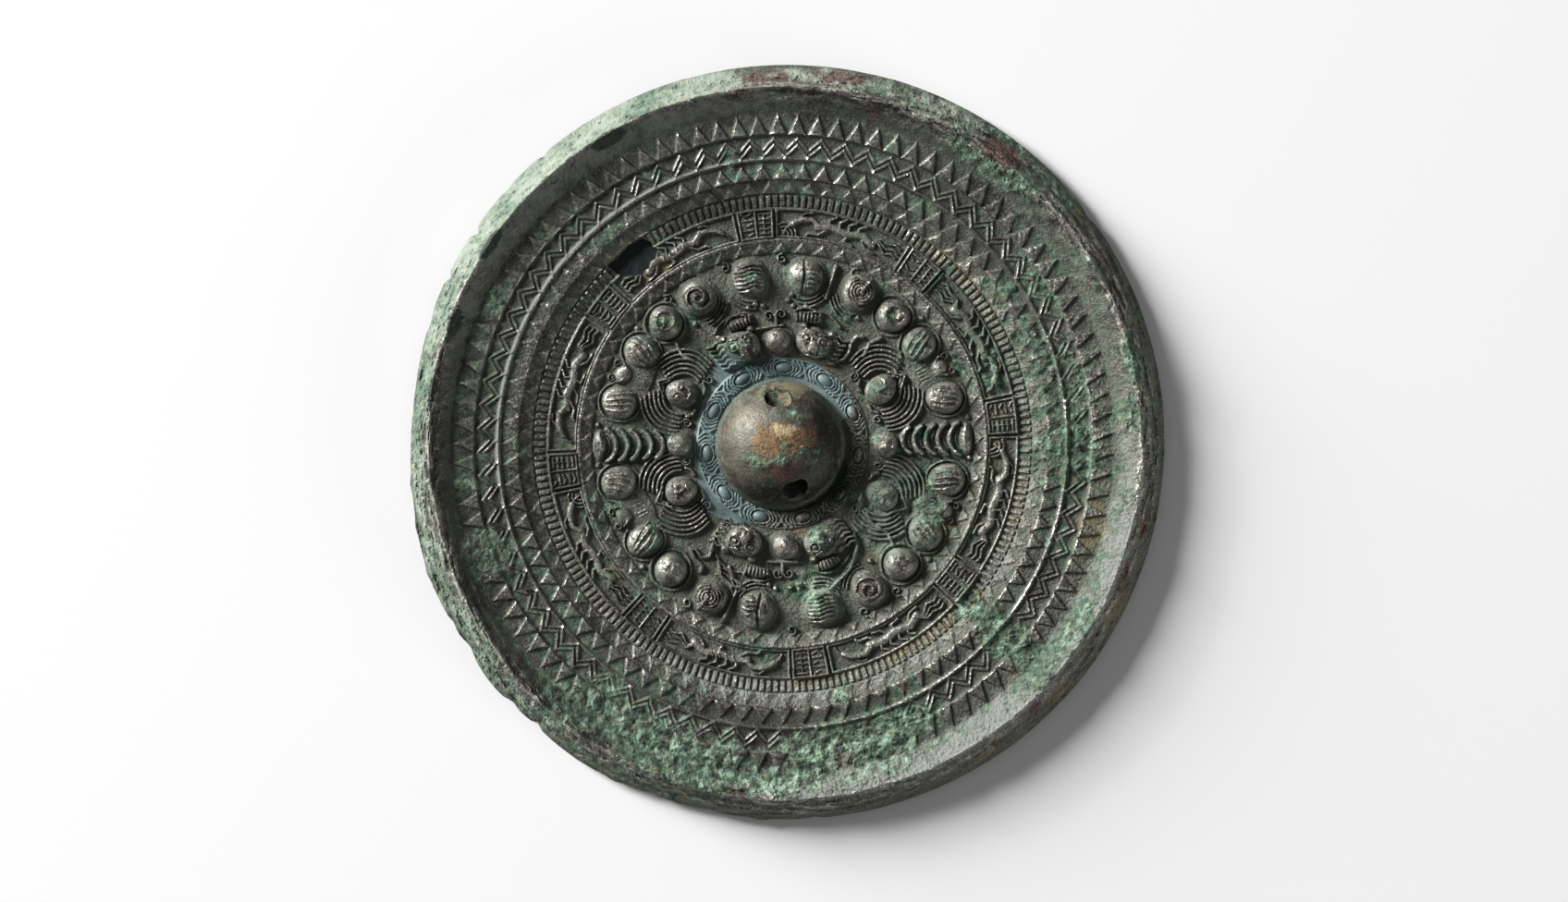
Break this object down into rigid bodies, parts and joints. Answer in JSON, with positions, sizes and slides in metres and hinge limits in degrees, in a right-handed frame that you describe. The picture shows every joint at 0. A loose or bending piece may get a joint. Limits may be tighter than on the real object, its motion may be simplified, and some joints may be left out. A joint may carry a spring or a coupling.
{
  "type": "bronze mirror",
  "caption": "Round cast bronze hand mirror lying face down: triangular rim, sawtooth and zigzag bands, figures in relief around a pierced domed knob for a cord.",
  "frame": {"origin": "under the middle of the round outline, on the flat spot of the mirror face that the part lies on", "axes": "+Z out of the decorated back, +Y along the cord tunnel through the knob, +X across it"},
  "size_m": [0.222, 0.222, 0.0166],
  "materials": {
    "bronze": "cast bronze with a dark brown-grey patina and green corrosion"
  },
  "bodies": {
    "root": {"mirror": "bronze"}
  },
  "joints": []
}
